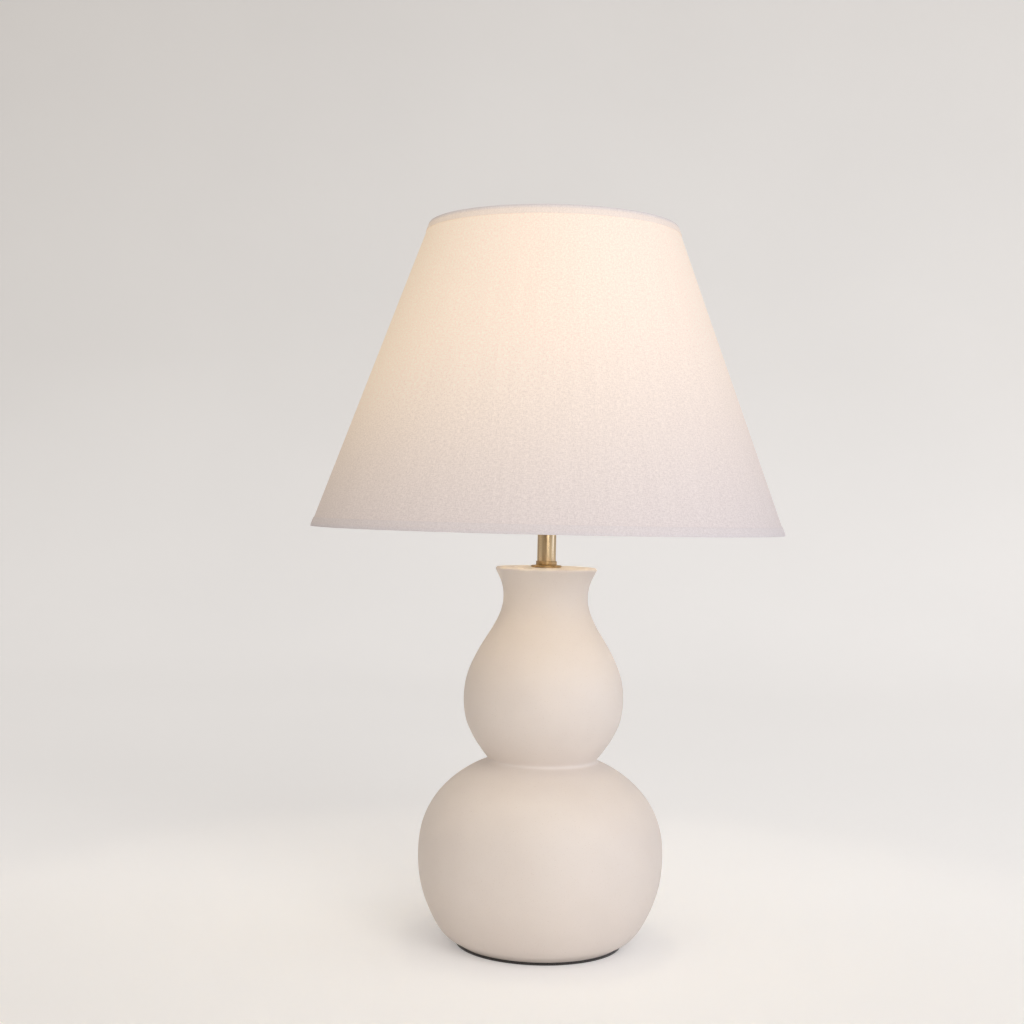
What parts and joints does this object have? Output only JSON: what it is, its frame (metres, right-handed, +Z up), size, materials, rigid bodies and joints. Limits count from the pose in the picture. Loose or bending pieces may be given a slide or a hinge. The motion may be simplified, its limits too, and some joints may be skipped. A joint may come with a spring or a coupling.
{
  "type": "table lamp",
  "caption": "Double gourd ceramic table lamp with a brass neck, a turn-knob socket, a harp and a tapered linen shade.",
  "frame": {"origin": "middle of the underside of the base pad, on the lamp's axis", "axes": "+Z up along the lamp's axis, X along the harp, -Y towards the switch knob, +Y towards the cord inlet"},
  "size_m": [0.35, 0.35, 0.5433],
  "materials": {
    "felt": "dark grey felt pad",
    "bisque": "matte pale bisque ceramic",
    "bushing_plastic": "pale moulded bushing",
    "zinc_steel": "zinc plated steel",
    "antique_brass": "brushed antique brass",
    "fibre_board": "vulcanised fibre",
    "dark_moulding": "dark phenolic moulding",
    "nickel_shell": "bright rolled shell",
    "contact_metal": "tinned contact",
    "insulator_glass": "black insulator",
    "bulb_plastic": "white moulded housing",
    "board": "white circuit board",
    "diffuser": "frosted warm white diffuser",
    "linen": "off-white linen laminated on a clear backing",
    "linen_trim": "folded linen trim"
  },
  "bodies": {
    "base": {"base_pad": "felt", "gourd_body": "bisque", "cord_bushing": "bushing_plastic", "base_washer": "zinc_steel", "lock_washer": "zinc_steel", "base_nut": "zinc_steel", "threaded_rod": "zinc_steel", "check_ring": "antique_brass", "tube_collar": "antique_brass", "neck_tube": "antique_brass", "harp_saddle": "antique_brass", "socket_cap": "antique_brass", "cap_disc": "fibre_board", "socket_shell": "antique_brass", "shell_liner": "fibre_board", "socket_body": "dark_moulding", "terminal_screws": "zinc_steel", "screw_shell": "nickel_shell", "centre_contact": "antique_brass"},
    "knob": {"switch_shaft": "zinc_steel", "switch_knob": "dark_moulding"},
    "bulb": {"bulb_tip": "contact_metal", "bulb_insulator": "insulator_glass", "bulb_cap": "nickel_shell", "bulb_housing": "bulb_plastic", "led_board": "board", "bulb_globe": "diffuser"},
    "harp": {"harp_wire": "antique_brass", "harp_crown": "antique_brass"},
    "sleeve_left": {"sleeve_left": "antique_brass"},
    "sleeve_right": {"sleeve_right": "antique_brass"},
    "seat": {"harp_seat": "antique_brass"},
    "shade": {"shade_cover": "linen", "bottom_trim": "linen_trim", "top_trim": "linen_trim", "bottom_ring": "zinc_steel", "top_ring": "zinc_steel", "spider_hub": "zinc_steel", "spider_arms": "zinc_steel"},
    "finial": {"finial": "antique_brass"}
  },
  "joints": [
    {"name": "knob_turn", "type": "hinge", "parent": "base", "child": "knob", "pos_m": [0, -0.02, 0.37], "axis": [0, -1, 0], "continuous": true},
    {"name": "bulb_turn", "type": "hinge", "parent": "base", "child": "bulb", "pos_m": [0, 0, 0.395], "axis": [0, 0, 1], "continuous": true},
    {"name": "harp_lift", "type": "slide", "parent": "base", "child": "harp", "axis": [0, 0, 1], "range_m": [0, 0.17]},
    {"name": "sleeve_left_slide", "type": "slide", "parent": "harp", "child": "sleeve_left", "axis": [0, 0, 1], "range_m": [0, 0.0085]},
    {"name": "sleeve_right_slide", "type": "slide", "parent": "harp", "child": "sleeve_right", "axis": [0, 0, 1], "range_m": [0, 0.0085]},
    {"name": "seat_turn", "type": "hinge", "parent": "harp", "child": "seat", "pos_m": [0, 0, 0.516], "axis": [0, 0, 1], "continuous": true},
    {"name": "shade_lift", "type": "slide", "parent": "seat", "child": "shade", "axis": [0, 0, 1], "range_m": [0, 0.24]},
    {"name": "finial_turn", "type": "hinge", "parent": "shade", "child": "finial", "pos_m": [0, 0, 0.53], "axis": [0, 0, 1], "continuous": true}
  ]
}
